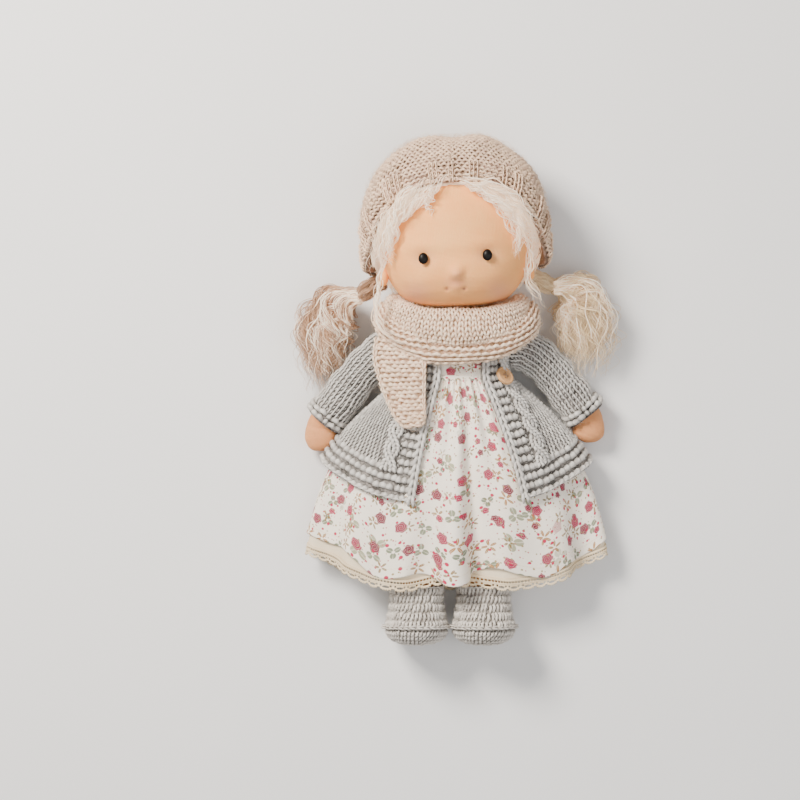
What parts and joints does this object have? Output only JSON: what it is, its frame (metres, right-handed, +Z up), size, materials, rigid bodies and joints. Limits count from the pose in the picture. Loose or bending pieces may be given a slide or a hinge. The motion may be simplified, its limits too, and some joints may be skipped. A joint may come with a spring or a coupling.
{
  "type": "waldorf doll",
  "caption": "Soft cloth doll with bead eyes, curly mohair pigtails, knitted hat, scarf and cardigan, a printed dress over a lace-hemmed petticoat, and crocheted boots.",
  "frame": {"origin": "on the flat back of the cardigan, in the middle of the body under the waist, where the doll rests on its back", "axes": "+Y towards the head, +Z up out of the face and chest, +X to the right as seen from above"},
  "size_m": [0.241, 0.4019, 0.114],
  "materials": {
    "linen_skin": "plain woven linen",
    "peach_jersey": "peach cotton jersey",
    "wool_stuffing": "cream carded wool and yarn",
    "mohair": "cream-blond curly mohair",
    "oatmeal_knit": "chunky oatmeal knit",
    "heather_knit": "warm grey heather knit",
    "boot_crochet": "light grey crochet",
    "dress_cotton": "white cotton with small printed roses",
    "petticoat_cotton": "plain cream cotton",
    "cotton_lace": "cream cotton lace",
    "eye_bead": "glossy black bead",
    "beech_button": "light turned wood",
    "sewing_thread": "brown thread"
  },
  "bodies": {
    "body": {"torso_skin": "linen_skin", "torso_stuffing": "wool_stuffing", "dress_bodice": "dress_cotton", "cardigan_body": "heather_knit", "cardigan_button": "beech_button", "button_thread": "sewing_thread", "scarf": "oatmeal_knit"},
    "neck": {"neck_roll": "wool_stuffing"},
    "head": {"head_skin": "peach_jersey", "head_core": "wool_stuffing", "neck_string": "wool_stuffing", "eye_left": "eye_bead", "eye_right": "eye_bead", "ear_left": "peach_jersey", "ear_right": "peach_jersey", "hair_cap": "mohair", "fringe_left": "mohair", "fringe_right": "mohair", "hair_tie_left": "mohair", "hair_tie_right": "mohair"},
    "hat": {"hat": "oatmeal_knit"},
    "pigtail_left": {"pigtail_left": "mohair"},
    "pigtail_right": {"pigtail_right": "mohair"},
    "arm_left": {"arm_skin_left": "peach_jersey", "arm_stuffing_left": "wool_stuffing", "sleeve_left": "heather_knit"},
    "arm_right": {"arm_skin_right": "peach_jersey", "arm_stuffing_right": "wool_stuffing", "sleeve_right": "heather_knit"},
    "lap": {"dress_skirt": "dress_cotton", "petticoat": "petticoat_cotton", "petticoat_lace": "cotton_lace"},
    "leg_left": {"leg_skin_left": "peach_jersey", "leg_stuffing_left": "wool_stuffing", "boot_left": "boot_crochet", "boot_sole_left": "boot_crochet"},
    "leg_right": {"leg_skin_right": "peach_jersey", "leg_stuffing_right": "wool_stuffing", "boot_right": "boot_crochet", "boot_sole_right": "boot_crochet"}
  },
  "joints": [
    {"name": "neck_tilt", "type": "hinge", "parent": "body", "child": "neck", "pos_m": [0.001, 0.0658, 0.038], "axis": [0, 0, 1], "range_deg": [-3, 3], "deforming": ["scarf"]},
    {"name": "head_nod", "type": "hinge", "parent": "neck", "child": "head", "pos_m": [0.001, 0.0658, 0.038], "axis": [1, 0, 0], "range_deg": [0, 20], "deforming": ["scarf"]},
    {"name": "hat_lift", "type": "slide", "parent": "head", "child": "hat", "axis": [-0.0454, 0.999, 0], "range_m": [0, 0.13]},
    {"name": "pigtail_swing_left", "type": "hinge", "parent": "head", "child": "pigtail_left", "pos_m": [-0.076, 0.07502, 0.0385], "axis": [0, 0, -1], "range_deg": [0, 30]},
    {"name": "pigtail_swing_right", "type": "hinge", "parent": "head", "child": "pigtail_right", "pos_m": [0.07485, 0.08187, 0.0385], "axis": [0, 0, 1], "range_deg": [0, 30]},
    {"name": "arm_lift_left", "type": "hinge", "parent": "body", "child": "arm_left", "pos_m": [-0.0382, 0.0345, 0.034], "axis": [-1, 0, 0], "range_deg": [0, 100]},
    {"name": "arm_lift_right", "type": "hinge", "parent": "body", "child": "arm_right", "pos_m": [0.0382, 0.0345, 0.034], "axis": [-1, 0, 0], "range_deg": [0, 100]},
    {"name": "hips_bend", "type": "hinge", "parent": "body", "child": "lap", "pos_m": [0, -0.045, 0.034], "axis": [-1, 0, 0], "range_deg": [0, 90], "deforming": ["dress_skirt", "petticoat", "petticoat_lace", "cardigan_body"]},
    {"name": "leg_spread_left", "type": "hinge", "parent": "lap", "child": "leg_left", "pos_m": [-0.0192, -0.045, 0.034], "axis": [0, 0, -1], "range_deg": [0, 8]},
    {"name": "leg_spread_right", "type": "hinge", "parent": "lap", "child": "leg_right", "pos_m": [0.0192, -0.045, 0.034], "axis": [0, 0, 1], "range_deg": [0, 8]}
  ]
}
